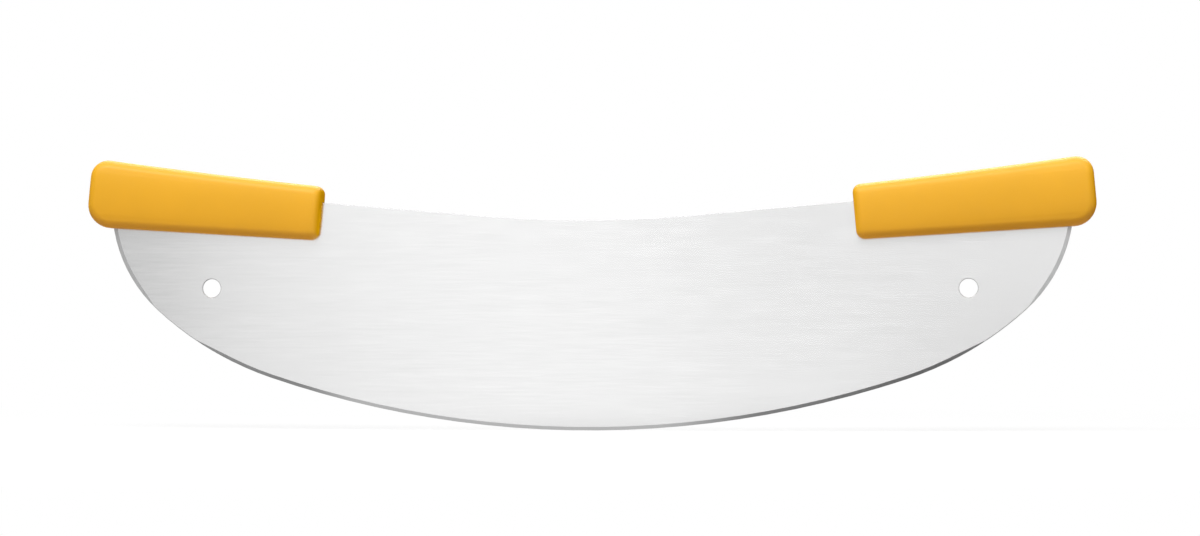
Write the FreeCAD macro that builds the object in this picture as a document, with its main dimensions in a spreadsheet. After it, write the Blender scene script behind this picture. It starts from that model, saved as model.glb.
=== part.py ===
# Rocking pizza knife: a curved steel blade with a plastic handle moulded over each end.
# Frame: +X to the right along the blade, +Y through its thickness, +Z up from the
# cutting edge to the handles. The origin is the lowest point of the cutting edge, at
# the middle of the blade's thickness. Lengths are millimetres and angles degrees.
import FreeCAD
import Part
import Sketcher
import math
import os

# Driving dimensions. Each is one cell of the sheet, under this alias.
SIZES = {
    # Blade blank: one plate whose outline is tangent arcs, edge to shoulder to end.
    "blade_length": 523.6,
    "blade_depth": 113.7,
    "blade_thickness": 2.0,
    "edge_radius": 546.0,
    "shoulder_radius": 178.0,
    "end_radius": 77.5,
    "end_turn_angle": 42.3,
    "spine_radius": 650.0,
    "flank_angle": 4.8,
    "tang_corner_radius": 8.0,
    "edge_break": 0.4,
    # Ground cutting edge: the grind follows the edge and some of the shoulder, then runs straight out.
    "bevel_width": 1.9,
    "bevel_shoulder_run": 21.5,
    "edge_land": 0.3,
    # Ends eased on both faces: a shallow strip along the end, which runs out on the shoulder.
    "relief_width": 2.1,
    "relief_depth": 0.25,
    "relief_turn_angle": 56.0,
    # Hanging holes, set in from the ends of the blade and down from its flanks.
    "hang_hole_diameter": 10.0,
    "hang_hole_inset": 55.9,
    "hang_hole_drop": 51.8,
    "hang_hole_rim": 0.3,
    # Lock holes in each tang, along the handle from its inner end.
    "lock_hole_diameter": 9.0,
    "lock_hole_start": 32.0,
    "lock_hole_pitch": 50.0,
    "lock_hole_drop": 4.0,
    # Handles, moulded on the tangs.
    "handle_length": 128.4,
    "handle_inner_height": 29.4,
    "handle_outer_height": 37.7,
    "handle_thickness": 20.0,
    "handle_crown_radius": 90.0,
    "handle_top_radius": 3800.0,
    "handle_round": 4.2,
    "inner_corner_extra": 0.4,
    "outer_top_corner_extra": 5.2,
    "outer_bottom_corner_extra": 8.3,
    "handle_overhang": 11.3,
    "handle_drop": 6.1,
    "handle_tilt_angle": 5.3,
    # How far a cutting profile runs past the solid that it cuts.
    "cut_overrun": 5.0,
}

# Worked out from the driving dimensions, one formula cell each, in order.
DERIVED = {
    "blade_half": "blade_length / 2",
    "half_thickness": "blade_thickness / 2",
    # Half the angle of the cutting edge's arc, which ends where the shoulder arc starts.
    "edge_half_angle": "asin((blade_half - shoulder_radius * sin(end_turn_angle)"
                       " - end_radius * (1 - sin(end_turn_angle))) / (edge_radius - shoulder_radius))",
    "edge_end_z": "edge_radius * (1 - cos(edge_half_angle))",
    "shoulder_centre_x": "(edge_radius - shoulder_radius) * sin(edge_half_angle)",
    # Centre of the end arc.
    "end_centre_x": "blade_half - end_radius",
    "end_centre_z": "edge_end_z + shoulder_radius * (cos(edge_half_angle) - cos(end_turn_angle))"
                    " + end_radius * cos(end_turn_angle)",
    # Straight flank of the spine: its height at any x is flank_base + x * tan(flank_angle).
    "flank_base": "blade_depth + spine_radius * (1 - 1 / cos(flank_angle))",
    # Where the grind leaves the shoulder, and how far past the edge the bevel would
    # reach if it were carried on to the middle plane of the blade.
    "runout_angle": "asin(sin(edge_half_angle) + bevel_shoulder_run / shoulder_radius)",
    "carry_width": "bevel_width * edge_land / (blade_thickness - edge_land)",
    "tang_top_z": "flank_base + blade_half * tan(flank_angle)",
    "hang_hole_x": "blade_half - hang_hole_inset",
    "hang_hole_z": "flank_base + hang_hole_x * tan(flank_angle) - hang_hole_drop",
    # Inner end of the right handle's centre line, set from the blade's end and flank.
    "handle_x": "blade_half + handle_overhang - handle_length * cos(handle_tilt_angle)",
    "handle_z": "flank_base + handle_x * tan(flank_angle) - handle_drop",
    "inner_corner_radius": "handle_round + inner_corner_extra",
    "outer_top_corner_radius": "handle_round + outer_top_corner_extra",
    "outer_bottom_corner_radius": "handle_round + outer_bottom_corner_extra",
}

UP = FreeCAD.Vector(0, 0, 1)
DOWN_ANGLE = 270.0
UP_ANGLE = 90.0
HALF_TURN = 180.0
FULL_TURN = 360.0
# Two places closer than this share of the thinnest size are the same place.
SAME_PLACE_SHARE = 0.01
# Sketch references: the origin, the two axes, and the points of a line or an arc.
ORIGIN = (-1, 1)
X_AXIS = -1
Z_AXIS = -2
START, END, CENTRE = range(1, 4)


def number(value):
    """Return a cell's or a formula's result as a plain number."""
    return float(getattr(value, "Value", value))


def make_sheet(doc):
    """Write the driving and derived dimensions to the sheet, one alias each."""
    sheet = doc.addObject("Spreadsheet::Sheet", "Sizes")
    cells = [(name, str(value)) for name, value in SIZES.items()]
    cells += [(name, "=" + formula) for name, formula in DERIVED.items()]
    for row, (name, content) in enumerate(cells, 1):
        sheet.set(f"A{row}", name)
        sheet.set(f"B{row}", content)
        sheet.setAlias(f"B{row}", name)
        doc.recompute()
    return sheet


def plane(body, role):
    """Return one of the body's own origin planes."""
    return next(f for f in body.Origin.OriginFeatures if f.Role == role)


def new_sketch(body, name, role):
    """Add a sketch on one of the body's origin planes."""
    sketch = body.newObject("Sketcher::SketchObject", name)
    sketch.AttachmentSupport = [(plane(body, role), "")]
    sketch.MapMode = "FlatFace"
    return sketch


def dimension(sketch, name, formula, kind, *where):
    """Add a named dimension whose value comes from the sheet."""
    value = number(sketch.evalExpression(formula))
    if kind == "Angle":
        value = math.radians(value)
    index = sketch.addConstraint(Sketcher.Constraint(kind, *where, value))
    sketch.renameConstraint(index, name)
    sketch.setExpression(f"Constraints.{name}", formula)


def relate(sketch, kind, *where):
    """Add a geometric relation."""
    sketch.addConstraint(Sketcher.Constraint(kind, *where))


def arc(centre, radius, start_angle, end_angle):
    """Return a sketch arc, counter-clockwise between two angles in degrees."""
    circle = Part.Circle(FreeCAD.Vector(*centre, 0), UP, radius)
    return Part.ArcOfCircle(circle, math.radians(start_angle), math.radians(end_angle))


def line(start, end):
    """Return a sketch line between two points."""
    return Part.LineSegment(FreeCAD.Vector(*start, 0), FreeCAD.Vector(*end, 0))


def along(centre, radius, angle):
    """Return the point of a circle at an angle in degrees."""
    turn = math.radians(angle)
    return (centre[0] + radius * math.cos(turn), centre[1] + radius * math.sin(turn))


def mirrored(point):
    """Return the point's mirror image across the vertical axis."""
    return (-point[0], point[1])


def check_cut(before, feature):
    """Stop if a cutting feature left the volume as it was."""
    feature.Document.recompute()
    if feature.Shape.Volume >= before.Shape.Volume:
        raise RuntimeError(f"{feature.Name} cuts nothing")


def edge_names(shape, wanted):
    """Return the names of the shape's edges that pass a test."""
    return [f"Edge{i}" for i, edge in enumerate(shape.Edges, 1) if wanted(edge)]


def tang_corner(size, end_centre, flank_foot):
    """Return the centre of the arc that touches the flank from below and the end arc from inside."""
    flank = size("flank_angle")
    radius = size("tang_corner_radius")
    foot = along(flank_foot, radius, DOWN_ANGLE + flank)
    gap_x = foot[0] - end_centre[0]
    gap_z = foot[1] - end_centre[1]
    run_x, run_z = along((0, 0), 1, flank)
    lag = gap_x * run_x + gap_z * run_z
    reach = size("end_radius") - radius
    run = math.sqrt(lag ** 2 - gap_x ** 2 - gap_z ** 2 + reach ** 2) - lag
    return along(foot, run, flank)


def outline_blade(body, size):
    """Sketch the blank's outline: edge, shoulders, ends, tang corners, flanks and spine."""
    edge_turn = size("edge_half_angle")
    end_turn = size("end_turn_angle")
    flank = size("flank_angle")
    edge_radius = size("edge_radius")
    shoulder_radius = size("shoulder_radius")
    corner_radius = size("tang_corner_radius")
    spine_radius = size("spine_radius")
    edge_centre = (0, edge_radius)
    spine_centre = (0, size("blade_depth") + spine_radius)
    shoulder_centre = along(edge_centre, edge_radius - shoulder_radius, DOWN_ANGLE + edge_turn)
    end_centre = (size("end_centre_x"), size("end_centre_z"))
    flank_foot = along(spine_centre, spine_radius, DOWN_ANGLE + flank)
    corner_centre = tang_corner(size, end_centre, flank_foot)
    flank_head = along(corner_centre, corner_radius, UP_ANGLE + flank)
    end_stop = math.degrees(math.atan2(corner_centre[1] - end_centre[1], corner_centre[0] - end_centre[0]))

    right_arcs = (
        (shoulder_centre, shoulder_radius, DOWN_ANGLE + edge_turn, DOWN_ANGLE + end_turn),
        (end_centre, size("end_radius"), DOWN_ANGLE + end_turn, FULL_TURN + end_stop),
        (corner_centre, corner_radius, end_stop, UP_ANGLE + flank),
    )
    left_arcs = [(mirrored(centre), radius, HALF_TURN - stop, HALF_TURN - start)
                 for centre, radius, start, stop in reversed(right_arcs)]

    sketch = new_sketch(body, "blade_outline", "XZ_Plane")
    edge = sketch.addGeometry(arc(edge_centre, edge_radius, DOWN_ANGLE - edge_turn, DOWN_ANGLE + edge_turn))
    shoulder, end, corner = [sketch.addGeometry(arc(*values)) for values in right_arcs]
    right_flank = sketch.addGeometry(line(flank_foot, flank_head))
    spine = sketch.addGeometry(arc(spine_centre, spine_radius, DOWN_ANGLE - flank, DOWN_ANGLE + flank))
    left_flank = sketch.addGeometry(line(mirrored(flank_foot), mirrored(flank_head)))
    left_corner, left_end, left_shoulder = [sketch.addGeometry(arc(*values)) for values in left_arcs]

    for first, first_point, second, second_point in (
        (edge, END, shoulder, START),
        (shoulder, END, end, START),
        (end, END, corner, START),
        (corner, END, right_flank, END),
        (right_flank, START, spine, END),
        (spine, START, left_flank, START),
        (left_flank, END, left_corner, START),
        (left_corner, END, left_end, START),
        (left_end, END, left_shoulder, START),
        (left_shoulder, END, edge, START),
    ):
        relate(sketch, "Tangent", first, first_point, second, second_point)
    for right, left in ((shoulder, left_shoulder), (end, left_end), (corner, left_corner)):
        relate(sketch, "Equal", right, left)
    for middle in (edge, spine):
        relate(sketch, "PointOnObject", middle, CENTRE, Z_AXIS)
        relate(sketch, "Horizontal", middle, START, middle, END)
    relate(sketch, "Horizontal", end, CENTRE, left_end, CENTRE)
    relate(sketch, "PointOnObject", *ORIGIN, edge)
    dimension(sketch, "edge_radius", "Sizes.edge_radius", "Radius", edge)
    dimension(sketch, "shoulder_radius", "Sizes.shoulder_radius", "Radius", shoulder)
    dimension(sketch, "end_radius", "Sizes.end_radius", "Radius", end)
    dimension(sketch, "corner_radius", "Sizes.tang_corner_radius", "Radius", corner)
    dimension(sketch, "spine_radius", "Sizes.spine_radius", "Radius", spine)
    dimension(sketch, "end_centre", "Sizes.end_centre_x", "DistanceX", *ORIGIN, end, CENTRE)
    dimension(sketch, "end_turn", "Sizes.end_radius * sin(Sizes.end_turn_angle)", "DistanceX",
              end, CENTRE, end, START)
    dimension(sketch, "spine_height", "Sizes.blade_depth + Sizes.spine_radius", "DistanceY",
              *ORIGIN, spine, CENTRE)
    dimension(sketch, "flank", "Sizes.flank_angle", "Angle", right_flank)
    return sketch


def sketch_bevel(body, size, name, inset_formula):
    """Sketch all that lies outside a line inset from the cutting edge, and run out at both ends."""
    sketch = new_sketch(body, name, "XZ_Plane")
    half = size("blade_half")
    inset = number(sketch.evalExpression(inset_formula))
    edge_turn = size("edge_half_angle")
    runout = size("runout_angle")
    edge_radius = size("edge_radius")
    shoulder_radius = size("shoulder_radius")
    outer_radius = edge_radius + size("cut_overrun")
    outer_turn = math.degrees(math.asin(half / outer_radius))
    centre = (0, edge_radius)
    shoulder_centre = along(centre, edge_radius - shoulder_radius, DOWN_ANGLE + edge_turn)
    lift = along(shoulder_centre, shoulder_radius - inset, DOWN_ANGLE + runout)
    head = (half, lift[1] + (half - lift[0]) * math.tan(math.radians(runout)))
    foot = along(centre, outer_radius, DOWN_ANGLE + outer_turn)

    edge = sketch.addGeometry(
        arc(centre, edge_radius - inset, DOWN_ANGLE - edge_turn, DOWN_ANGLE + edge_turn))
    right_shoulder = sketch.addGeometry(
        arc(shoulder_centre, shoulder_radius - inset, DOWN_ANGLE + edge_turn, DOWN_ANGLE + runout))
    right_runout = sketch.addGeometry(line(lift, head))
    right_wall = sketch.addGeometry(line(head, foot))
    outer = sketch.addGeometry(arc(centre, outer_radius, DOWN_ANGLE - outer_turn, DOWN_ANGLE + outer_turn))
    left_wall = sketch.addGeometry(line(mirrored(head), mirrored(foot)))
    left_runout = sketch.addGeometry(line(mirrored(lift), mirrored(head)))
    left_shoulder = sketch.addGeometry(
        arc(mirrored(shoulder_centre), shoulder_radius - inset, DOWN_ANGLE - runout, DOWN_ANGLE - edge_turn))

    relate(sketch, "Tangent", edge, END, right_shoulder, START)
    relate(sketch, "Tangent", right_shoulder, END, right_runout, START)
    relate(sketch, "Tangent", edge, START, left_shoulder, END)
    relate(sketch, "Tangent", left_shoulder, START, left_runout, START)
    relate(sketch, "Equal", right_shoulder, left_shoulder)
    relate(sketch, "Horizontal", edge, START, edge, END)
    relate(sketch, "Horizontal", right_runout, START, left_runout, START)
    for runout_line, wall, outer_end in ((right_runout, right_wall, END), (left_runout, left_wall, START)):
        relate(sketch, "Coincident", runout_line, END, wall, START)
        relate(sketch, "Coincident", wall, END, outer, outer_end)
        relate(sketch, "Vertical", wall)
    for middle in (edge, outer):
        relate(sketch, "PointOnObject", middle, CENTRE, Z_AXIS)
    dimension(sketch, "edge_height", "Sizes.edge_radius", "DistanceY", *ORIGIN, edge, CENTRE)
    dimension(sketch, "edge_radius", f"Sizes.edge_radius - {inset_formula}", "Radius", edge)
    dimension(sketch, "edge_end", f"(Sizes.edge_radius - {inset_formula}) * sin(Sizes.edge_half_angle)",
              "DistanceX", *ORIGIN, edge, END)
    dimension(sketch, "shoulder_radius", f"Sizes.shoulder_radius - {inset_formula}", "Radius", right_shoulder)
    dimension(sketch, "lift", "Sizes.shoulder_centre_x"
              f" + (Sizes.shoulder_radius - {inset_formula}) * sin(Sizes.runout_angle)",
              "DistanceX", *ORIGIN, right_shoulder, END)
    dimension(sketch, "right_reach", "Sizes.blade_half", "DistanceX", *ORIGIN, right_wall, START)
    dimension(sketch, "left_reach", "Sizes.blade_half", "DistanceX", left_wall, START, *ORIGIN)
    dimension(sketch, "outer_height", "Sizes.edge_radius", "DistanceY", *ORIGIN, outer, CENTRE)
    dimension(sketch, "outer_radius", "Sizes.edge_radius + Sizes.cut_overrun", "Radius", outer)
    return sketch


def grind(body, name, base, face, rim):
    """Cut away what lies between a sketch on the blade's face and one beyond the blade's rim."""
    body.Document.recompute()
    cut = body.newObject("PartDesign::SubtractiveLoft", name)
    cut.Profile = face
    cut.Sections = [rim]
    cut.Ruled = True
    check_cut(base, cut)
    return cut


def grind_edge(body, size, base):
    """Cut the bevel of the cutting edge into both faces."""
    face = sketch_bevel(body, size, "grind_line", "Sizes.bevel_width")
    face.setExpression("AttachmentOffset.Base.z", "Sizes.half_thickness")
    middle = sketch_bevel(body, size, "edge_line", "(-Sizes.carry_width)")
    bevel = grind(body, "front_bevel", base, face, middle)
    both = body.newObject("PartDesign::Mirrored", "back_bevel")
    both.Originals = [bevel]
    both.MirrorPlane = (plane(body, "XZ_Plane"), [""])
    body.Tip = both
    check_cut(bevel, both)
    return both


def sketch_relief(body, size, name, inset_formula):
    """Sketch all that lies outside a line inset from the right end, and run out on the shoulder."""
    sketch = new_sketch(body, name, "XZ_Plane")
    turn = size("relief_turn_angle")
    centre = (size("end_centre_x"), size("end_centre_z"))
    radius = size("end_radius") - number(sketch.evalExpression(inset_formula))
    wall_x = size("blade_half") + size("cut_overrun")
    low = size("edge_end_z")
    high = size("tang_top_z") + size("cut_overrun")
    lift = along(centre, radius, DOWN_ANGLE + turn)
    foot = (lift[0] - (lift[1] - low) / math.tan(math.radians(turn)), low)
    brow = along(centre, radius, FULL_TURN)
    head = (brow[0], high)

    end = sketch.addGeometry(arc(centre, radius, DOWN_ANGLE + turn, FULL_TURN))
    rise = sketch.addGeometry(line(brow, head))
    roof = sketch.addGeometry(line(head, (wall_x, high)))
    wall = sketch.addGeometry(line((wall_x, high), (wall_x, low)))
    floor = sketch.addGeometry(line((wall_x, low), foot))
    runout = sketch.addGeometry(line(foot, lift))
    relate(sketch, "Tangent", end, END, rise, START)
    relate(sketch, "Tangent", runout, END, end, START)
    for side, following in ((rise, roof), (roof, wall), (wall, floor), (floor, runout)):
        relate(sketch, "Coincident", side, END, following, START)
    for upright in (rise, wall):
        relate(sketch, "Vertical", upright)
    for level in (roof, floor):
        relate(sketch, "Horizontal", level)
    dimension(sketch, "centre_x", "Sizes.end_centre_x", "DistanceX", *ORIGIN, end, CENTRE)
    dimension(sketch, "centre_z", "Sizes.end_centre_z", "DistanceY", *ORIGIN, end, CENTRE)
    dimension(sketch, "radius", f"Sizes.end_radius - {inset_formula}", "Radius", end)
    dimension(sketch, "turn", f"(Sizes.end_radius - {inset_formula}) * sin(Sizes.relief_turn_angle)",
              "DistanceX", end, CENTRE, end, START)
    dimension(sketch, "wall", "Sizes.blade_half + Sizes.cut_overrun", "DistanceX", *ORIGIN, wall, START)
    dimension(sketch, "high", "Sizes.tang_top_z + Sizes.cut_overrun", "DistanceY", *ORIGIN, wall, START)
    dimension(sketch, "low", "Sizes.edge_end_z", "DistanceY", *ORIGIN, floor, START)
    return sketch


def ease_end(body, size, base):
    """Grind a shallow strip along the right end into both faces."""
    strips = []
    for side, sign in (("front", ""), ("back", "-")):
        face = sketch_relief(body, size, side + "_relief_line", "Sizes.relief_width")
        face.setExpression("AttachmentOffset.Base.z", f"{sign}Sizes.half_thickness")
        rim = sketch_relief(body, size, side + "_relief_rim", "(-Sizes.relief_width)")
        rim.setExpression("AttachmentOffset.Base.z",
                          f"{sign}(Sizes.half_thickness - 2 * Sizes.relief_depth)")
        base = grind(body, side + "_relief", base, face, rim)
        strips.append(base)
    return strips


def drill(body, name, base, diameter_formula, *centres):
    """Cut round holes through the plate, each centre given as two formulas."""
    sketch = new_sketch(body, name + "_places", "XZ_Plane")
    radius = number(sketch.evalExpression(diameter_formula)) / 2
    for i, (x_formula, z_formula) in enumerate(centres, 1):
        x = number(sketch.evalExpression(x_formula))
        z = number(sketch.evalExpression(z_formula))
        hole = sketch.addGeometry(Part.Circle(FreeCAD.Vector(x, z, 0), UP, radius))
        dimension(sketch, f"bore_{i}", diameter_formula, "Diameter", hole)
        dimension(sketch, f"across_{i}", x_formula, "DistanceX", *ORIGIN, hole, CENTRE)
        dimension(sketch, f"height_{i}", z_formula, "DistanceY", *ORIGIN, hole, CENTRE)
    body.Document.recompute()
    holes = body.newObject("PartDesign::Pocket", name)
    holes.Profile = sketch
    holes.SideType = "Symmetric"
    holes.setExpression("Length", "Sizes.blade_thickness + Sizes.cut_overrun")
    check_cut(base, holes)
    return holes


def lock_hole_centre(run):
    """Return the two formulas of a lock hole's centre, a run along the handle's centre line."""
    across = f"Sizes.handle_x + ({run}) * cos(Sizes.handle_tilt_angle)"
    height = f"Sizes.handle_z + ({run}) * sin(Sizes.handle_tilt_angle)"
    return (across + " + Sizes.lock_hole_drop * sin(Sizes.handle_tilt_angle)",
            height + " - Sizes.lock_hole_drop * cos(Sizes.handle_tilt_angle)")


def make_blade(doc, size):
    """Build the blade: blank, broken edges, bevel, eased ends and holes."""
    body = doc.addObject("PartDesign::Body", "Blade")
    body.Label = "blade"
    outline = outline_blade(body, size)
    doc.recompute()
    blank = body.newObject("PartDesign::Pad", "blank")
    blank.Profile = outline
    blank.SideType = "Symmetric"
    blank.setExpression("Length", "Sizes.blade_thickness")
    doc.recompute()

    same = size("edge_land") * SAME_PLACE_SHARE
    rim = edge_names(blank.Shape, lambda edge: edge.BoundBox.YLength < same)
    broken = body.newObject("PartDesign::Chamfer", "broken_edges")
    broken.Base = (blank, rim)
    broken.setExpression("Size", "Sizes.edge_break")
    check_cut(blank, broken)

    ground = grind_edge(body, size, broken)
    strips = ease_end(body, size, ground)
    hang = drill(body, "hang_hole", strips[-1], "Sizes.hang_hole_diameter",
                 ("Sizes.hang_hole_x", "Sizes.hang_hole_z"))
    lock = drill(body, "lock_holes", hang, "Sizes.lock_hole_diameter",
                 lock_hole_centre("Sizes.lock_hole_start"),
                 lock_hole_centre("Sizes.lock_hole_start + Sizes.lock_hole_pitch"))
    left = body.newObject("PartDesign::Mirrored", "left_end")
    left.Originals = [*strips, hang, lock]
    left.MirrorPlane = (plane(body, "YZ_Plane"), [""])
    body.Tip = left
    check_cut(lock, left)

    hole_x = size("hang_hole_x")
    hole_z = size("hang_hole_z")

    def is_hang_hole_mouth(edge):
        """Tell whether an edge is the mouth of a hanging hole."""
        if not isinstance(edge.Curve, Part.Circle):
            return False
        centre = edge.Curve.Center
        return abs(abs(centre.x) - hole_x) < same and abs(centre.z - hole_z) < same

    rims = body.newObject("PartDesign::Chamfer", "hang_hole_rims")
    rims.Base = (left, edge_names(left.Shape, is_hang_hole_mouth))
    rims.setExpression("Size", "Sizes.hang_hole_rim")
    check_cut(left, rims)
    return body


def outline_handle(body, size):
    """Sketch the handle's side view along its own centre line, from its inner end."""
    inner_half = size("handle_inner_height") / 2
    outer_half = size("handle_outer_height") / 2
    length = size("handle_length")
    radius = size("handle_top_radius")
    chord = math.hypot(length, outer_half - inner_half)
    lean = math.degrees(math.atan2(outer_half - inner_half, length))
    swing = math.degrees(math.asin(chord / 2 / radius))
    top_centre = along((0, inner_half), radius, UP_ANGLE + lean - swing)

    sketch = new_sketch(body, "handle_outline", "XZ_Plane")
    inner = sketch.addGeometry(line((0, inner_half), (0, -inner_half)))
    bottom = sketch.addGeometry(line((0, -inner_half), (length, -outer_half)))
    outer = sketch.addGeometry(line((length, -outer_half), (length, outer_half)))
    top = sketch.addGeometry(arc(top_centre, radius, DOWN_ANGLE + lean - swing, DOWN_ANGLE + lean + swing))
    relate(sketch, "Coincident", inner, END, bottom, START)
    relate(sketch, "Coincident", bottom, END, outer, START)
    relate(sketch, "Coincident", outer, END, top, END)
    relate(sketch, "Coincident", top, START, inner, START)
    relate(sketch, "Symmetric", inner, START, inner, END, X_AXIS)
    relate(sketch, "Symmetric", outer, START, outer, END, X_AXIS)
    relate(sketch, "PointOnObject", inner, START, Z_AXIS)
    dimension(sketch, "inner_height", "Sizes.handle_inner_height", "DistanceY", inner, END, inner, START)
    dimension(sketch, "outer_height", "Sizes.handle_outer_height", "DistanceY", outer, START, outer, END)
    dimension(sketch, "length", "Sizes.handle_length", "DistanceX", *ORIGIN, outer, START)
    dimension(sketch, "top_radius", "Sizes.handle_top_radius", "Radius", top)
    return sketch


def sketch_crown(body, size):
    """Sketch what is taken off each side so that the handle's sides are crowned."""
    half = size("handle_thickness") / 2
    radius = size("handle_crown_radius")
    high = size("handle_outer_height") / 2 + size("cut_overrun")
    wide = half + size("cut_overrun")
    swing = math.degrees(math.asin(high / radius))
    centre = radius - half
    shoulder = along((centre, 0), radius, HALF_TURN - swing)[0]
    corners = ((shoulder, high), (-wide, high), (-wide, -high), (shoulder, -high))

    sketch = new_sketch(body, "crown_section", "YZ_Plane")
    sides = []
    for sign, middle, high_end, low_end in ((1, HALF_TURN, START, END), (-1, 0, END, START)):
        crown = sketch.addGeometry(arc((sign * centre, 0), radius, middle - swing, middle + swing))
        points = [(sign * across, height) for across, height in corners]
        roof, wall, floor = [sketch.addGeometry(line(*pair)) for pair in zip(points, points[1:])]
        relate(sketch, "Coincident", crown, high_end, roof, START)
        relate(sketch, "Coincident", roof, END, wall, START)
        relate(sketch, "Coincident", wall, END, floor, START)
        relate(sketch, "Coincident", floor, END, crown, low_end)
        relate(sketch, "Horizontal", roof)
        relate(sketch, "PointOnObject", crown, CENTRE, X_AXIS)
        relate(sketch, "Vertical", crown, START, crown, END)
        relate(sketch, "Symmetric", wall, START, wall, END, X_AXIS)
        sides.append((crown, wall))
    (front_crown, front_wall), (back_crown, back_wall) = sides
    relate(sketch, "Equal", front_crown, back_crown)
    relate(sketch, "Symmetric", front_wall, START, back_wall, START, Z_AXIS)
    centre_formula = "Sizes.handle_crown_radius - Sizes.handle_thickness / 2"
    dimension(sketch, "crown_radius", "Sizes.handle_crown_radius", "Radius", front_crown)
    dimension(sketch, "front_centre", centre_formula, "DistanceX", *ORIGIN, front_crown, CENTRE)
    dimension(sketch, "back_centre", centre_formula, "DistanceX", back_crown, CENTRE, *ORIGIN)
    dimension(sketch, "high", "Sizes.handle_outer_height / 2 + Sizes.cut_overrun", "DistanceY",
              *ORIGIN, front_wall, START)
    dimension(sketch, "wide", "Sizes.handle_thickness / 2 + Sizes.cut_overrun", "DistanceX",
              front_wall, START, *ORIGIN)
    return sketch


def round_corners(body, size, base, name, *corners):
    """Round corners of the handle's side view, to the radius of the same name."""
    same = size("edge_land") * SAME_PLACE_SHARE

    def is_corner(edge):
        """Tell whether an edge runs across the handle at one of the corners."""
        return any(all(math.hypot(v.X - x, v.Z - z) < same for v in edge.Vertexes) for x, z in corners)

    fillet = body.newObject("PartDesign::Fillet", name)
    fillet.Base = (base, edge_names(base.Shape, is_corner))
    fillet.setExpression("Radius", f"Sizes.{name}_radius")
    check_cut(base, fillet)
    return fillet


def make_handle_form(doc, size):
    """Build the handle's outer form along its own centre line, then set it on the right tang."""
    body = doc.addObject("PartDesign::Body", "HandleForm")
    outline = outline_handle(body, size)
    doc.recompute()
    form = body.newObject("PartDesign::Pad", "bar")
    form.Profile = outline
    form.SideType = "Symmetric"
    form.setExpression("Length", "Sizes.handle_thickness")
    doc.recompute()

    length = size("handle_length")
    inner_half = size("handle_inner_height") / 2
    outer_half = size("handle_outer_height") / 2
    form = round_corners(body, size, form, "inner_corner", (0, inner_half), (0, -inner_half))
    form = round_corners(body, size, form, "outer_top_corner", (length, outer_half))
    form = round_corners(body, size, form, "outer_bottom_corner", (length, -outer_half))

    section = sketch_crown(body, size)
    doc.recompute()
    crowned = body.newObject("PartDesign::Pocket", "crowned_sides")
    crowned.Profile = section
    crowned.SideType = "Symmetric"
    crowned.setExpression("Length", "2 * (Sizes.handle_length + Sizes.cut_overrun)")
    check_cut(form, crowned)

    crown_radius = size("handle_crown_radius")
    rim = []
    for face in crowned.Shape.Faces:
        if isinstance(face.Surface, Part.Cylinder) and math.isclose(face.Surface.Radius, crown_radius):
            rim += face.Edges
    rounded = body.newObject("PartDesign::Fillet", "rounded_rims")
    rounded.Base = (crowned, edge_names(crowned.Shape, lambda edge: any(edge.isSame(e) for e in rim)))
    rounded.setExpression("Radius", "Sizes.handle_round")
    check_cut(crowned, rounded)

    lift = FreeCAD.Rotation(FreeCAD.Vector(0, -1, 0), size("handle_tilt_angle"))
    body.Placement = FreeCAD.Placement(FreeCAD.Vector(), lift)
    body.setExpression("Placement.Base.x", "Sizes.handle_x")
    body.setExpression("Placement.Base.z", "Sizes.handle_z")
    body.setExpression("Placement.Rotation.Angle", "Sizes.handle_tilt_angle")
    doc.recompute()
    return body


def make_handles(doc, form, blade):
    """Mould the handles on the tangs: the blade leaves its slot, and plastic fills the lock holes."""
    right = doc.addObject("Part::Cut", "HandleRight")
    right.Label = "handle_right"
    right.Base = form
    right.Tool = blade
    doc.recompute()
    left = doc.addObject("Part::Mirroring", "HandleLeft")
    left.Label = "handle_left"
    left.Source = right
    left.Normal = FreeCAD.Vector(1, 0, 0)
    doc.recompute()
    return right, left


def check_document(doc, pieces):
    """Stop if an object failed, a sketch is loose or a piece isn't one sound solid."""
    for obj in doc.Objects:
        if "Invalid" in obj.State or "Error" in obj.State:
            raise RuntimeError(f"{obj.Name} failed: {obj.State}")
        if obj.TypeId == "Sketcher::SketchObject" and not obj.FullyConstrained:
            raise RuntimeError(f"{obj.Name} isn't fully constrained")
    for piece in pieces:
        shape = piece.Shape
        if shape.isNull() or not shape.isValid() or len(shape.Solids) != 1:
            raise RuntimeError(f"{piece.Label} isn't one sound solid")


def main():
    """Build the knife and write one file for each piece."""
    doc = FreeCAD.newDocument("PizzaKnife")
    sheet = make_sheet(doc)

    def size(name):
        """Return one of the sheet's sizes."""
        return number(sheet.get(name))

    blade = make_blade(doc, size)
    form = make_handle_form(doc, size)
    pieces = (blade, *make_handles(doc, form, blade))
    check_document(doc, pieces)
    os.makedirs("parts", exist_ok=True)
    for piece in pieces:
        piece.Shape.exportStep(f"parts/{piece.Label}.step")
        box = piece.Shape.optimalBoundingBox()
        print(f"{piece.Label}: {piece.Shape.Volume:.0f} mm3, x {box.XMin:.2f} to {box.XMax:.2f},"
              f" y {box.YMin:.2f} to {box.YMax:.2f}, z {box.ZMin:.2f} to {box.ZMax:.2f}")


main()
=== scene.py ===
"""A rocking pizza knife in a white studio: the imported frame, dressed and lit.

The blade is the frame's own node with a brushed and ground steel finish. The two grips are
modelled here in the place of the frame's handles, with finer rounding and eased rims.
Lengths are metres, in the frame: +X along the blade, +Y through it, +Z up.
"""

import logging
import math
from dataclasses import dataclass, field
from enum import Enum
from typing import Callable, Mapping, Sequence

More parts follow.
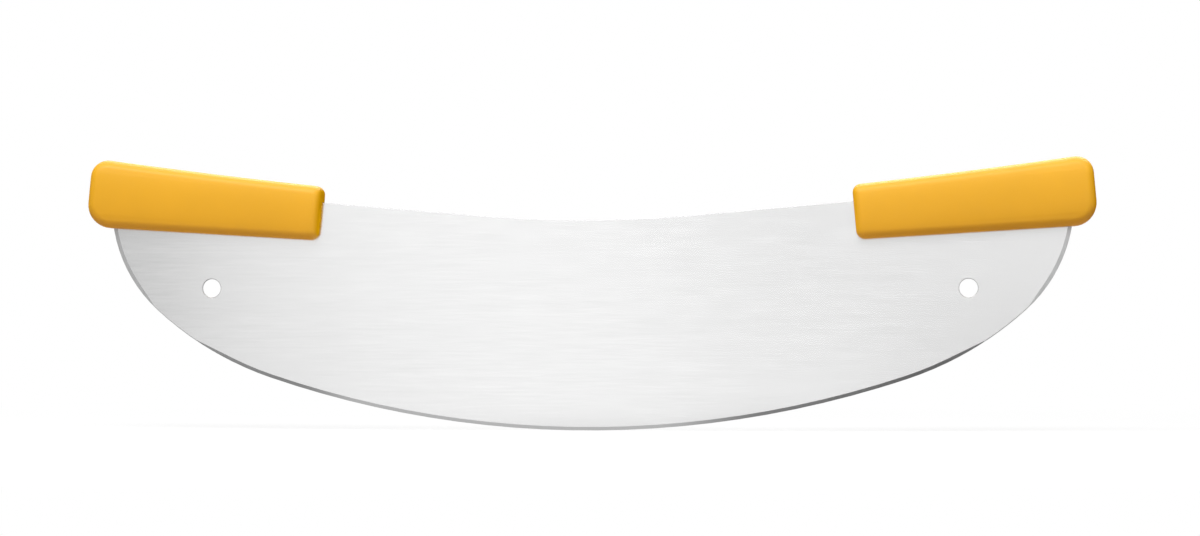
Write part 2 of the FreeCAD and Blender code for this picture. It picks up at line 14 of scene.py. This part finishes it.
import bmesh
import bpy
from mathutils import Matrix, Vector


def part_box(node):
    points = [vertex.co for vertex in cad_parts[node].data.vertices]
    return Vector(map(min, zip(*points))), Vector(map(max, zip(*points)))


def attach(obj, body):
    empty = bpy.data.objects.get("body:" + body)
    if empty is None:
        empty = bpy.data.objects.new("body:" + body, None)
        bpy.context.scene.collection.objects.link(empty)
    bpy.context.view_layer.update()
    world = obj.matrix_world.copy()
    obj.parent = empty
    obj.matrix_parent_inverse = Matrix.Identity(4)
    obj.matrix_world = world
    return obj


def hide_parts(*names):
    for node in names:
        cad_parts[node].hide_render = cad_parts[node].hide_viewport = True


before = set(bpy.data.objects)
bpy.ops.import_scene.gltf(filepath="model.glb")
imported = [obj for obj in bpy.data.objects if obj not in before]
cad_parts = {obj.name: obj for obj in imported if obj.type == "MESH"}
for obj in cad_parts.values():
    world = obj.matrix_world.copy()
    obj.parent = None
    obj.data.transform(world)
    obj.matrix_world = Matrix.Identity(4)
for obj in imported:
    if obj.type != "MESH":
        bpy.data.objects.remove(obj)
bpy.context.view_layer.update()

LOG = logging.getLogger("pizza_knife")
BODY = "root"
MM = 0.001

Colour = tuple[float, float, float]
Place = tuple[float, float, float]
Span = tuple[float, float]

# Where most of a noise texture's values lie, and what they are spread to.
NOISE_SPAN: Span = (0.3, 0.7)
UNIT_SPAN: Span = (0.0, 1.0)
# Sockets of the Mix node by number, because each kind of value repeats the same names.
MIX_FACTOR = 0
MIX_NUMBERS = (2, 3)
MIX_COLOURS = (6, 7)
MIXED_NUMBER = 0
MIXED_COLOUR = 2
# What the lamps look at, and the level of the cards that lie on the floor.
KNIFE_MIDDLE: Place = (0, 0, 0.1)
CARD_LEVEL = -0.1 * MM


class Side(Enum):
    """The end of the blade that a grip sits on."""

    LEFT = "handle_left"
    RIGHT = "handle_right"


class Part(Enum):
    """What a selection in edit mode is made of."""

    VERT = "VERT"
    EDGE = "EDGE"
    FACE = "FACE"


class NodePen:
    """Adds nodes to one node tree and wires them as it goes."""

    def __init__(self, tree: bpy.types.NodeTree) -> None:
        """Start on an empty tree."""
        self.tree = tree
        tree.nodes.clear()

    def node(self, kind: str, inputs: Mapping[str | int, object] | None = None,
             **settings: object) -> bpy.types.Node:
        """Add one node.

        Args:
            kind: the node's type.
            inputs: socket names or numbers, each with a value or a socket to wire it to.
            settings: the node's own options.

        Returns:
            The new node.
        """
        node = self.tree.nodes.new(kind)
        for name, value in settings.items():
            setattr(node, name, value)
        for name, value in (inputs or {}).items():
            if isinstance(value, bpy.types.NodeSocket):
                self.tree.links.new(value, node.inputs[name])
            else:
                node.inputs[name].default_value = value
        return node

    def maths(self, operation: str, first: object, second: object = 0.0) -> bpy.types.NodeSocket:
        """Return the result of a sum on two values or sockets."""
        return self.node("ShaderNodeMath", {0: first, 1: second}, operation=operation).outputs[0]

    def spread(self, value: bpy.types.NodeSocket, source: Span, target: Span) -> bpy.types.NodeSocket:
        """Return a value moved from one range to another, held at the ends."""
        ends = {"From Min": source[0], "From Max": source[1], "To Min": target[0], "To Max": target[1]}
        return self.node("ShaderNodeMapRange", {"Value": value, **ends}).outputs["Result"]

    def ramp(self, value: bpy.types.NodeSocket, stops: Sequence[Span]) -> bpy.types.NodeSocket:
        """Return a level that changes smoothly along a value.

        Args:
            value: the value that the level follows.
            stops: pairs of a value and the level there, in rising order.

        Returns:
            The level, held past the first and the last stop.
        """
        first, last = stops[0][0], stops[-1][0]
        node = self.node("ShaderNodeValToRGB", {"Fac": self.spread(value, (first, last), UNIT_SPAN)})
        node.color_ramp.interpolation = "EASE"
        elements = node.color_ramp.elements
        for place, level in stops[1:-1]:
            elements.new((place - first) / (last - first)).color = opaque((level, level, level))
        for element, level in ((elements[0], stops[0][1]), (elements[-1], stops[-1][1])):
            element.color = opaque((level, level, level))
        return node.outputs["Color"]

    def blend(self, factor: object, first: object, second: object) -> bpy.types.NodeSocket:
        """Return a mix of two colours."""
        inputs = dict(zip((MIX_FACTOR, *MIX_COLOURS), (factor, first, second)))
        return self.node("ShaderNodeMix", inputs, data_type="RGBA").outputs[MIXED_COLOUR]

    def pick(self, factor: object, first: object, second: object) -> bpy.types.NodeSocket:
        """Return a mix of two numbers."""
        inputs = dict(zip((MIX_FACTOR, *MIX_NUMBERS), (factor, first, second)))
        return self.node("ShaderNodeMix", inputs, data_type="FLOAT").outputs[MIXED_NUMBER]

    def object_noise(self, cell: Place, detail: float) -> bpy.types.NodeSocket:
        """Return noise whose cells have the given size on the piece.

        Args:
            cell: the size of one cell along each axis, in metres.
            detail: how many finer layers the noise has.

        Returns:
            The noise, spread from 0 to 1.
        """
        coords = self.node("ShaderNodeTexCoord").outputs["Object"]
        scale = tuple(1 / length for length in cell)
        place = self.node("ShaderNodeMapping", {"Vector": coords, "Scale": scale}).outputs["Vector"]
        noise = self.node("ShaderNodeTexNoise", {"Vector": place, "Scale": 1.0, "Detail": detail})
        return self.spread(noise.outputs["Fac"], NOISE_SPAN, UNIT_SPAN)

    def facing(self, axis: str) -> bpy.types.NodeSocket:
        """Measure how squarely a face looks along an axis, either way.

        Args:
            axis: X, Y or Z.

        Returns:
            A value from 0, for a face along the axis, to 1, for one across it.
        """
        normal = self.node("ShaderNodeNewGeometry").outputs["True Normal"]
        part = self.node("ShaderNodeSeparateXYZ", {"Vector": normal}).outputs[axis]
        return self.maths("ABSOLUTE", part)

    def seen(self) -> bpy.types.NodeSocket:
        """Tell what is looked at from what only lights.

        Returns:
            1 for rays from the camera, a mirror or a lens, and 0 for others.
        """
        path = self.node("ShaderNodeLightPath").outputs
        mirror = self.maths("MAXIMUM", path["Is Glossy Ray"], path["Is Transmission Ray"])
        return self.maths("MAXIMUM", path["Is Camera Ray"], mirror)

    def surface(self, shader: bpy.types.NodeSocket) -> None:
        """Wire a shader to the material's output."""
        self.node("ShaderNodeOutputMaterial", {"Surface": shader})


def opaque(colour: Colour) -> tuple[float, float, float, float]:
    """Return a colour with full cover."""
    return (*colour, 1.0)


def swing(colour: Colour, share: float) -> list[tuple[float, float, float, float]]:
    """Return a colour made darker and lighter by the same share."""
    return [opaque(tuple(channel * level for channel in colour)) for level in (1 - share, 1 + share)]


def new_material(name: str) -> tuple[bpy.types.Material, NodePen]:
    """Make a material.

    Args:
        name: the material's name.

    Returns:
        The new material and a pen on its empty tree.
    """
    material = bpy.data.materials.new(name)
    material.use_nodes = True
    return material, NodePen(material.node_tree)


def dress(piece: bpy.types.Object, material: bpy.types.Material) -> None:
    """Put one material on all of a piece.

    Args:
        piece: the object.
        material: the material for each of its slots.
    """
    if not piece.material_slots:
        piece.data.materials.append(material)
    for slot in piece.material_slots:
        slot.material = material


@dataclass(frozen=True)
class BrushedSteel:
    """Stainless plate brushed along its length, with ground bevels and cut edges."""

    name: str = "brushed_steel"
    colour: Colour = (0.78, 0.78, 0.78)
    colour_swing: float = 0.026
    roughness: Span = (0.20, 0.25)
    fine_streak: Place = (0.022, 0.0010, 0.0010)
    fine_detail: float = 3.0
    broad_streak: Place = (0.080, 0.0040, 0.0040)
    broad_detail: float = 2.0
    broad_share: float = 0.3
    anisotropy: float = 0.6
    across_the_brushing: float = 0.25
    # The ground bevels' colour is darker partly for their coarser grind and partly as painted shade:
    # it stands in for the dimmer reflection that the downward-facing bevels catch from the floor.
    ground_colour_and_shade: Colour = (0.56, 0.56, 0.56)
    ground_swing: float = 0.03
    ground_roughness: Span = (0.28, 0.36)
    grind_line: Place = (0.0004, 0.0060, 0.0060)
    grind_detail: float = 2.0
    flat_limit: float = 0.996
    cut_colour: Colour = (0.46, 0.46, 0.46)
    cut_limit: float = 0.8
    scratch_depth: float = 0.004 * MM
    scratch_strength: float = 0.35

    def make(self) -> bpy.types.Material:
        """Make the finish.

        Returns:
            The material.
        """
        material, pen = new_material(self.name)
        fine = pen.object_noise(self.fine_streak, self.fine_detail)
        broad = pen.object_noise(self.broad_streak, self.broad_detail)
        streaks = pen.pick(self.broad_share, fine, broad)
        grind = pen.object_noise(self.grind_line, self.grind_detail)
        ground = self.turned_mask(pen, self.flat_limit)
        sheared = self.turned_mask(pen, self.cut_limit)
        brushed = pen.blend(streaks, *swing(self.colour, self.colour_swing))
        # The bevels' tone carries the grind lines and painted shade in place of their dimmer
        # reflection.
        ground_tone_and_shade = pen.blend(grind, *swing(self.ground_colour_and_shade, self.ground_swing))
        edge_tone = pen.blend(sheared, ground_tone_and_shade, opaque(self.cut_colour))
        roughness = pen.pick(ground, pen.spread(streaks, UNIT_SPAN, self.roughness),
                             pen.spread(grind, UNIT_SPAN, self.ground_roughness))
        bump = pen.node("ShaderNodeBump", {
            "Strength": self.scratch_strength,
            "Distance": self.scratch_depth,
            "Height": pen.pick(ground, fine, grind),
        })
        steel = pen.node("ShaderNodeBsdfPrincipled", {
            "Base Color": pen.blend(ground, brushed, edge_tone),
            "Metallic": 1.0,
            "Roughness": roughness,
            "Anisotropic": self.anisotropy,
            "Anisotropic Rotation": self.across_the_brushing,
            "Normal": bump.outputs["Normal"],
        })
        pen.surface(steel.outputs[0])
        return material

    def turned_mask(self, pen: NodePen, limit: float) -> bpy.types.NodeSocket:
        """Return 1 where the steel turns away from the plate's two flat faces past a limit."""
        return pen.maths("LESS_THAN", pen.facing("Y"), limit)


@dataclass(frozen=True)
class SatinPlastic:
    """Warm yellow polypropylene with the fine grain of its mould, duller on its ends."""

    name: str = "satin_plastic"
    colour: Colour = (0.83, 0.430, 0.004)
    colour_swing: float = 0.02
    roughness: Span = (0.45, 0.51)
    specular_level: float = 0.37
    end_turn: Span = (0.5, 0.9)
    tone_cell: Place = (0.0300, 0.0300, 0.0300)
    tone_detail: float = 2.0
    grain_cell: Place = (0.0007, 0.0007, 0.0007)
    grain_detail: float = 1.0
    grain_depth: float = 0.02 * MM
    grain_strength: float = 0.25

    def make(self) -> bpy.types.Material:
        """Make the finish.

        Returns:
            The material.
        """
        material, pen = new_material(self.name)
        tone = pen.object_noise(self.tone_cell, self.tone_detail)
        grain = pen.object_noise(self.grain_cell, self.grain_detail)
        bump = pen.node("ShaderNodeBump", {
            "Strength": self.grain_strength,
            "Distance": self.grain_depth,
            "Height": grain,
        })
        specular = pen.spread(pen.facing("X"), self.end_turn, (self.specular_level, 0.0))
        plastic = pen.node("ShaderNodeBsdfPrincipled", {
            "Base Color": pen.blend(tone, *swing(self.colour, self.colour_swing)),
            "Roughness": pen.spread(grain, UNIT_SPAN, self.roughness),
            "Specular IOR Level": specular,
            "Normal": bump.outputs["Normal"],
        })
        pen.surface(plastic.outputs[0])
        return material


def select(piece: bpy.types.Object, part: Part, wanted: Callable[[object], bool]) -> None:
    """Select the vertices, edges or faces that pass a test, and nothing else.

    Args:
        piece: the object in edit mode.
        part: what to select.
        wanted: the test, given a bmesh vertex, edge or face.
    """
    bpy.ops.mesh.select_mode(type=part.value)
    bpy.ops.mesh.select_all(action="DESELECT")
    mesh = bmesh.from_edit_mesh(piece.data)
    for item in {Part.VERT: mesh.verts, Part.EDGE: mesh.edges, Part.FACE: mesh.faces}[part]:
        if wanted(item):
            item.select_set(True)
    mesh.select_flush_mode()
    bmesh.update_edit_mesh(piece.data)


def activate(piece: bpy.types.Object) -> None:
    """Make a piece the only selected and active object.

    Args:
        piece: the object.
    """
    bpy.ops.object.select_all(action="DESELECT")
    piece.select_set(True)
    bpy.context.view_layer.objects.active = piece


def settle(piece: bpy.types.Object) -> None:
    """Move a piece's place, turn and scale into its mesh."""
    activate(piece)
    bpy.ops.object.transform_apply(location=True, rotation=True, scale=True)


def apply_modifier(piece: bpy.types.Object, kind: str, **settings: object) -> None:
    """Add a modifier with its settings and apply it.

    Args:
        piece: the object that it changes.
        kind: the modifier's type.
        settings: the modifier's own options.
    """
    activate(piece)
    modifier = piece.modifiers.new(kind.lower(), kind)
    for name, value in settings.items():
        setattr(modifier, name, value)
    bpy.ops.object.modifier_apply(modifier=modifier.name)


def point_outwards(piece: bpy.types.Object, merge: float) -> None:
    """Merge a mesh's doubles and turn its faces outwards.

    Args:
        piece: the object.
        merge: how close two doubles lie.
    """
    activate(piece)
    bpy.ops.object.mode_set(mode="EDIT")
    bpy.ops.mesh.select_all(action="SELECT")
    bpy.ops.mesh.remove_doubles(threshold=merge)
    bpy.ops.mesh.normals_make_consistent(inside=False)
    bpy.ops.object.mode_set(mode="OBJECT")


def copy_of(piece: bpy.types.Object, name: str) -> bpy.types.Object:
    """Copy an object, without any parent.

    Args:
        piece: the object to copy.
        name: the copy's name.

    Returns:
        The copy, with a mesh of its own.
    """
    copy = bpy.data.objects.new(name, piece.data.copy())
    bpy.context.scene.collection.objects.link(copy)
    return copy


def mesh_box(piece: bpy.types.Object) -> tuple[Vector, Vector]:
    """Measure an object's mesh.

    Args:
        piece: the object.

    Returns:
        The lowest and the highest corner of its box.
    """
    points = [vertex.co for vertex in piece.data.vertices]
    low = Vector(min(point[axis] for point in points) for axis in range(3))
    high = Vector(max(point[axis] for point in points) for axis in range(3))
    return low, high


@dataclass
class Blade:
    """The steel plate: the frame's own node, which the grips are moulded on."""

    node: bpy.types.Object
    finish: BrushedSteel = field(default_factory=BrushedSteel)
    merge: float = 0.001 * MM

    def build(self) -> None:
        """Dress the plate."""
        dress(self.node, self.finish.make())
        LOG.info("%s: brushed plate with ground edges", self.node.name)

    def tang_cutter(self) -> bpy.types.Object:
        """Make the tool that cuts the tangs' slots.

        Returns:
            A copy of the plate with its doubles merged.
        """
        cutter = copy_of(self.node, "tang_cutter")
        point_outwards(cutter, self.merge)
        return cutter


@dataclass
class Grips:
    """The two handles. One is modelled along its own centre line from its inner end, then copied."""

    length: float = 128.4 * MM
    inner_height: float = 29.4 * MM
    outer_height: float = 37.7 * MM
    thickness: float = 20.0 * MM
    crown_radius: float = 90.0 * MM
    top_radius: float = 3800.0 * MM
    rim_radius: float = 4.2 * MM
    inner_corner_radius: float = 4.6 * MM
    outer_top_radius: float = 9.4 * MM
    outer_bottom_radius: float = 12.5 * MM
    tilt: float = math.radians(5.3)
    rim_steps: int = 10
    corner_steps: int = 10
    round_profile: float = 0.5
    top_cuts: int = 7
    row_shares: Sequence[float] = (-0.6, -0.36, -0.12, 0.12, 0.36, 0.6)
    lattice_rows: int = 9
    rim_ease: float = 1.0 * MM
    ease_from_share: float = 0.45
    edge_ring: float = 0.3 * MM
    square_on: float = 0.9
    merge: float = 0.001 * MM
    row_merge: float = 0.0001 * MM
    smooth_angle: float = math.radians(25)
    slot: str = "handle_plastic"
    finish: SatinPlastic = field(default_factory=SatinPlastic)

    def build(self, blade: Blade) -> None:
        """Model the grip, set one on each tang and dress both.

        Args:
            blade: the plate that the grips are moulded on.
        """
        form = self.model_half()
        self.crown(form)
        self.join_halves(form)
        material = self.finish.make()
        cutter = blade.tang_cutter()
        for side in Side:
            grip = self.set_on_tang(form, side)
            apply_modifier(grip, "BOOLEAN", operation="DIFFERENCE", object=cutter, solver="EXACT")
            point_outwards(grip, self.merge)
            bpy.ops.object.shade_smooth_by_angle(angle=self.smooth_angle)
            dress(grip, material)
            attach(grip, BODY)
            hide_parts(side.value)
            LOG.info("%s: %d faces", grip.name, len(grip.data.polygons))
        for helper in (form, cutter):
            bpy.data.meshes.remove(helper.data)

    def model_half(self) -> bpy.types.Object:
        """Model the front half of a grip, still with a flat side.

        Returns:
            The half, open at the middle of the grip's thickness.
        """
        wall = self.thickness / 2 - self.rim_radius
        bpy.ops.object.select_all(action="DESELECT")
        bpy.ops.mesh.primitive_cube_add(
            size=1, location=(self.length / 2, -wall / 2, 0),
            scale=(self.length, wall, self.inner_height))
        half = bpy.context.object
        half.name = "grip_form"
        settle(half)
        bpy.ops.object.mode_set(mode="EDIT")
        self.taper(half)
        self.round_corners(half)
        self.round_rim(half)
        select(half, Part.FACE, lambda face: face.normal.y > self.square_on)
        bpy.ops.mesh.delete(type="FACE")
        self.cut_rows()
        bpy.ops.object.mode_set(mode="OBJECT")
        return half

    def taper(self, half: bpy.types.Object) -> None:
        """Widen the outer end, and let the top sag between its ends.

        Args:
            half: the half grip, in edit mode.
        """
        middle = self.length / 2
        select(half, Part.VERT, lambda vert: vert.co.x > middle)
        bpy.ops.transform.resize(value=(1, 1, self.outer_height / self.inner_height),
                                 center_override=(self.length, 0, 0))
        select(half, Part.EDGE, lambda edge: all(v.co.z > 0 for v in edge.verts)
               and abs(edge.verts[0].co.x - edge.verts[1].co.x) > middle)
        bpy.ops.mesh.subdivide(number_cuts=self.top_cuts)
        for cut in range(1, self.top_cuts + 1):
            along = self.length * cut / (self.top_cuts + 1)
            select(half, Part.VERT, lambda vert: vert.co.z > 0 and abs(vert.co.x - along) < self.merge)
            sag = along * (self.length - along) / (2 * self.top_radius)
            bpy.ops.transform.translate(value=(0, 0, -sag))

    def round_corners(self, half: bpy.types.Object) -> None:
        """Round the four corners of the side view.

        Args:
            half: the half grip, in edit mode.
        """
        lean = math.atan2(self.outer_height - self.inner_height, 2 * self.length)
        inner = self.inner_corner_radius * math.tan((math.pi / 2 - lean) / 2)
        widen = math.tan((math.pi / 2 + lean) / 2)
        corners = (
            (0, self.inner_height / 2, inner),
            (0, -self.inner_height / 2, inner),
            (self.length, self.outer_height / 2, self.outer_top_radius * widen),
            (self.length, -self.outer_height / 2, self.outer_bottom_radius * widen),
        )
        for x, z, run in corners:
            select(half, Part.EDGE, lambda edge: all(
                math.hypot(v.co.x - x, v.co.z - z) < self.merge for v in edge.verts))
            bpy.ops.mesh.bevel(offset=run, segments=self.corner_steps, profile=self.round_profile,
                               affect="EDGES")

    def round_rim(self, half: bpy.types.Object) -> None:
        """Round the rim of the side face, one narrow inset after another.

        Args:
            half: the half grip, in edit mode.
        """
        front = -(self.thickness / 2 - self.rim_radius)
        select(half, Part.FACE, lambda face: face.normal.y < -self.square_on
               and abs(face.calc_center_median().y - front) < self.merge)
        turns = [math.pi / 2 * step / self.rim_steps for step in range(self.rim_steps + 1)]
        for before, after in zip(turns, turns[1:]):
            bpy.ops.mesh.inset(
                thickness=self.rim_radius * (math.cos(before) - math.cos(after)),
                depth=self.rim_radius * (math.sin(after) - math.sin(before)))
        bpy.ops.mesh.inset(thickness=self.edge_ring, depth=0)

    def cut_rows(self) -> None:
        """Cut rows along the half, fanned like its taper, so that its side can curve."""
        for share in self.row_shares:
            low = share * self.inner_height / 2
            high = share * self.outer_height / 2
            bpy.ops.mesh.select_all(action="SELECT")
            bpy.ops.mesh.bisect(plane_co=(0, 0, low), plane_no=(low - high, 0, self.length),
                                threshold=self.row_merge)

    def crown(self, half: bpy.types.Object) -> None:
        """Crown the side with a lattice: draw it in towards its top and bottom, more so at the rim.

        Args:
            half: the half grip, in object mode.
        """
        bpy.ops.object.select_all(action="DESELECT")
        bpy.ops.object.add(type="LATTICE", location=(self.length / 2, -self.thickness / 4, 0))
        cage = bpy.context.object
        cage.scale = (self.length, self.thickness / 2, self.outer_height)
        cage.data.points_w = self.lattice_rows
        cage.data.interpolation_type_v = "KEY_LINEAR"
        cage.data.interpolation_type_w = "KEY_CATMULL_ROM"
        for point in cage.data.points:
            height = point.co.z * self.outer_height
            sag = self.crown_radius - math.sqrt(self.crown_radius ** 2 - height ** 2)
            rim_height = (self.inner_height if point.co.x < 0 else self.outer_height) / 2
            past = max(0.0, abs(height) / rim_height - self.ease_from_share)
            sag += self.rim_ease * (past / (1 - self.ease_from_share)) ** 2
            if point.co.y < 0:
                point.co_deform.y += sag / (self.thickness / 2)
        bpy.context.view_layer.update()
        apply_modifier(half, "LATTICE", object=cage)
        bpy.data.lattices.remove(cage.data)

    def join_halves(self, half: bpy.types.Object) -> None:
        """Mirror the half across its open middle and close the grip."""
        apply_modifier(half, "MIRROR", use_axis=(False, True, False), merge_threshold=self.merge)
        point_outwards(half, self.merge)

    def set_on_tang(self, form: bpy.types.Object, side: Side) -> bpy.types.Object:
        """Set a copy of the grip where the frame has that side's handle.

        Args:
            form: the finished grip, along its own centre line.
            side: the end of the blade.

        Returns:
            The placed copy.
        """
        grip = copy_of(form, side.name.lower() + "_grip")
        grip.rotation_euler.y = -self.tilt
        settle(grip)
        if side is Side.LEFT:
            grip.scale.x = -1
            settle(grip)
            point_outwards(grip, self.merge)
        low, high = mesh_box(grip)
        node_low, node_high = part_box(side.value)
        grip.location = (node_low + node_high - low - high) / 2
        settle(grip)
        return grip


@dataclass(frozen=True)
class Softbox:
    """A rectangular lamp that looks at the knife."""

    name: str
    place: Place
    aim: Place
    width: float
    height: float
    power: float
    in_mirrors: bool

    def light(self) -> None:
        """Put the lamp up."""
        bpy.ops.object.light_add(type="AREA", location=self.place)
        lamp = bpy.context.object
        lamp.name = self.name
        lamp.data.shape = "RECTANGLE"
        lamp.data.size = self.width
        lamp.data.size_y = self.height
        lamp.data.energy = self.power
        look = Vector(self.aim) - Vector(self.place)
        lamp.rotation_euler = look.to_track_quat("-Z", "Y").to_euler()
        lamp.visible_glossy = self.in_mirrors
        lamp.visible_camera = False


@dataclass(frozen=True)
class Card:
    """A flat card that only shows in mirrors. Its stops pair a place along the blade with a level."""

    name: str
    place: Place
    face: Place
    width: float
    height: float
    stops: Sequence[Span]

    def stand(self) -> None:
        """Set the card up as part of the stage."""
        bpy.ops.object.select_all(action="DESELECT")
        bpy.ops.mesh.primitive_plane_add(size=1, location=self.place)
        card = bpy.context.object
        card.name = self.name
        card.scale = (self.width, self.height, 1)
        card.rotation_euler = Vector(self.face).to_track_quat("Z", "Y").to_euler()
        settle(card)
        for ray in ("camera", "diffuse", "transmission", "volume_scatter", "shadow"):
            setattr(card, "visible_" + ray, False)
        material, pen = new_material(self.name)
        coords = pen.node("ShaderNodeTexCoord").outputs["Object"]
        along = pen.node("ShaderNodeSeparateXYZ", {"Vector": coords}).outputs["X"]
        glow = pen.node("ShaderNodeEmission", {"Strength": pen.ramp(along, self.stops)})
        pen.surface(glow.outputs[0])
        dress(card, material)


@dataclass
class Studio:
    """White surroundings, soft lamps, and cards that shade the steel."""

    sky_level: float = 0.30
    floor_size: float = 8.0
    floor_drop: float = 0.2 * MM
    bounce_colour: Colour = (0.47, 0.34, 0.22)
    shadow_albedo: float = 0.12
    shadow_reach: Span = (0.30, 0.80)
    softboxes: Sequence[Softbox] = (
        Softbox("key_light", place=(-0.40, -1.22, 1.69), aim=KNIFE_MIDDLE,
                width=1.5, height=0.8, power=33.5, in_mirrors=True),
        Softbox("top_light", place=(0.55, -0.60, 1.20), aim=KNIFE_MIDDLE,
                width=1.0, height=0.5, power=5.0, in_mirrors=False),
        Softbox("back_light", place=(-0.3, 1.5, 0.35), aim=KNIFE_MIDDLE,
                width=1.2, height=0.5, power=10.0, in_mirrors=False),
    )
    cards: Sequence[Card] = (
        Card("front_card", place=(0, -0.8, 0.175), face=(0, 1, 0), width=2.4, height=0.35,
             stops=((-0.66, 0.58), (-0.45, 0.61), (-0.35, 1.01), (-0.22, 1.11), (-0.09, 1.08),
                    (0.05, 0.91), (0.16, 0.89), (0.32, 0.97), (0.47, 0.58))),
        Card("top_card", place=(0, 0.80, 1.45), face=(0, -0.80, -1.35), width=1.8, height=0.7,
             stops=((-0.9, 8.5), (0.9, 11.0))),
        Card("sheen_card", place=(0, -1.1, 0.95), face=(0, 1.1, -0.82), width=1.6, height=0.5,
             stops=((-0.46, 1.2), (0.17, 6.0))),
        # The three cards that lie on the floor show only in mirrors, at levels around and below the
        # floor's white: painted shade and light in the steel's reflection of the floor. floor_card,
        # darkest beside the blade, is painted contact shade in the ground bevels.
        Card("floor_card", place=(0, -0.0305, CARD_LEVEL), face=(0, 0, 1), width=0.6, height=0.06,
             stops=((-0.175, 0.36), (-0.130, 0.80), (0.035, 0.80), (0.100, 0.30), (0.150, 0.23),
                    (0.200, 0.12))),
        Card("near_card", place=(0, -0.4305, CARD_LEVEL), face=(0, 0, 1), width=2.4, height=0.74,
             stops=((-0.50, 0.50), (-0.22, 0.94), (-0.05, 1.12), (0.10, 1.12), (0.24, 0.64),
                    (0.60, 0.45))),
        Card("far_card", place=(0, 0.4, CARD_LEVEL), face=(0, 0, 1), width=2.4, height=0.8,
             stops=((-0.60, 0.50), (-0.34, 0.80), (-0.22, 0.66), (0.05, 1.04), (0.20, 0.96),
                    (0.50, 0.50))),
    )

    def build(self) -> None:
        """Make the world, the floor, the lamps and the cards."""
        self.make_world()
        self.lay_floor()
        for softbox in self.softboxes:
            softbox.light()
        for card in self.cards:
            card.stand()
        bpy.context.scene.view_settings.view_transform = "Standard"
        LOG.info("studio: %d lamps, %d cards", len(self.softboxes), len(self.cards))

    def make_world(self) -> None:
        """Make a world that is seen as white and lights at a lower level."""
        world = bpy.data.worlds.new("studio_world")
        world.use_nodes = True
        bpy.context.scene.world = world
        pen = NodePen(world.node_tree)
        level = pen.spread(pen.seen(), UNIT_SPAN, (self.sky_level, 1.0))
        sky = pen.node("ShaderNodeBackground", {"Strength": level})
        sky.inputs["Color"].default_value = opaque((1.0, 1.0, 1.0))
        pen.node("ShaderNodeOutputWorld", {"Surface": sky.outputs[0]})

    def lay_floor(self) -> None:
        """Lay a floor that is seen as white, with a faint shadow, and throws light back up."""
        bpy.ops.object.select_all(action="DESELECT")
        bpy.ops.mesh.primitive_plane_add(size=self.floor_size, location=(0, 0, -self.floor_drop))
        floor = bpy.context.object
        floor.name = "floor"
        settle(floor)
        material, pen = new_material("white_floor")
        coords = pen.node("ShaderNodeTexCoord").outputs["Object"]
        reach = pen.node("ShaderNodeVectorMath", {0: coords}, operation="LENGTH").outputs["Value"]
        albedo = pen.spread(reach, self.shadow_reach, (self.shadow_albedo, 0.0))
        seen = pen.seen()
        colour = pen.blend(seen, opaque(self.bounce_colour), albedo)
        paint = pen.node("ShaderNodeBsdfDiffuse", {"Color": colour})
        glow_level = pen.maths("MULTIPLY", seen, pen.maths("SUBTRACT", 1.0, albedo))
        glow = pen.node("ShaderNodeEmission", {"Strength": glow_level})
        both = pen.node("ShaderNodeAddShader", {0: paint.outputs[0], 1: glow.outputs[0]})
        pen.surface(both.outputs[0])
        dress(floor, material)


@dataclass(frozen=True)
class PhotoCamera:
    """The camera, where the photograph was taken from."""

    place: Place = (0.24514, -2.02139, 0.05224)
    aim: Place = (0.007684, 0.0, 0.087765)
    lens: float = 113.04
    sensor: float = 36.0
    roll: float = math.radians(0.06)

    def build(self) -> None:
        """Put the camera up and look through it."""
        bpy.ops.object.camera_add(location=self.place)
        camera = bpy.context.object
        camera.name = "photo_camera"
        camera.data.lens = self.lens
        camera.data.sensor_width = self.sensor
        look = (Vector(self.aim) - Vector(self.place)).to_track_quat("-Z", "Y")
        camera.rotation_euler = look.to_euler()
        camera.rotation_euler.rotate_axis("Z", self.roll)
        bpy.context.scene.camera = camera


def main() -> None:
    """Build the knife and its studio, in order."""
    logging.basicConfig(level=logging.INFO, format="%(message)s")
    blade = Blade(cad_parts["blade"])
    blade.build()
    Grips().build(blade)
    Studio().build()
    PhotoCamera().build()


if __name__ == "__main__":
    main()
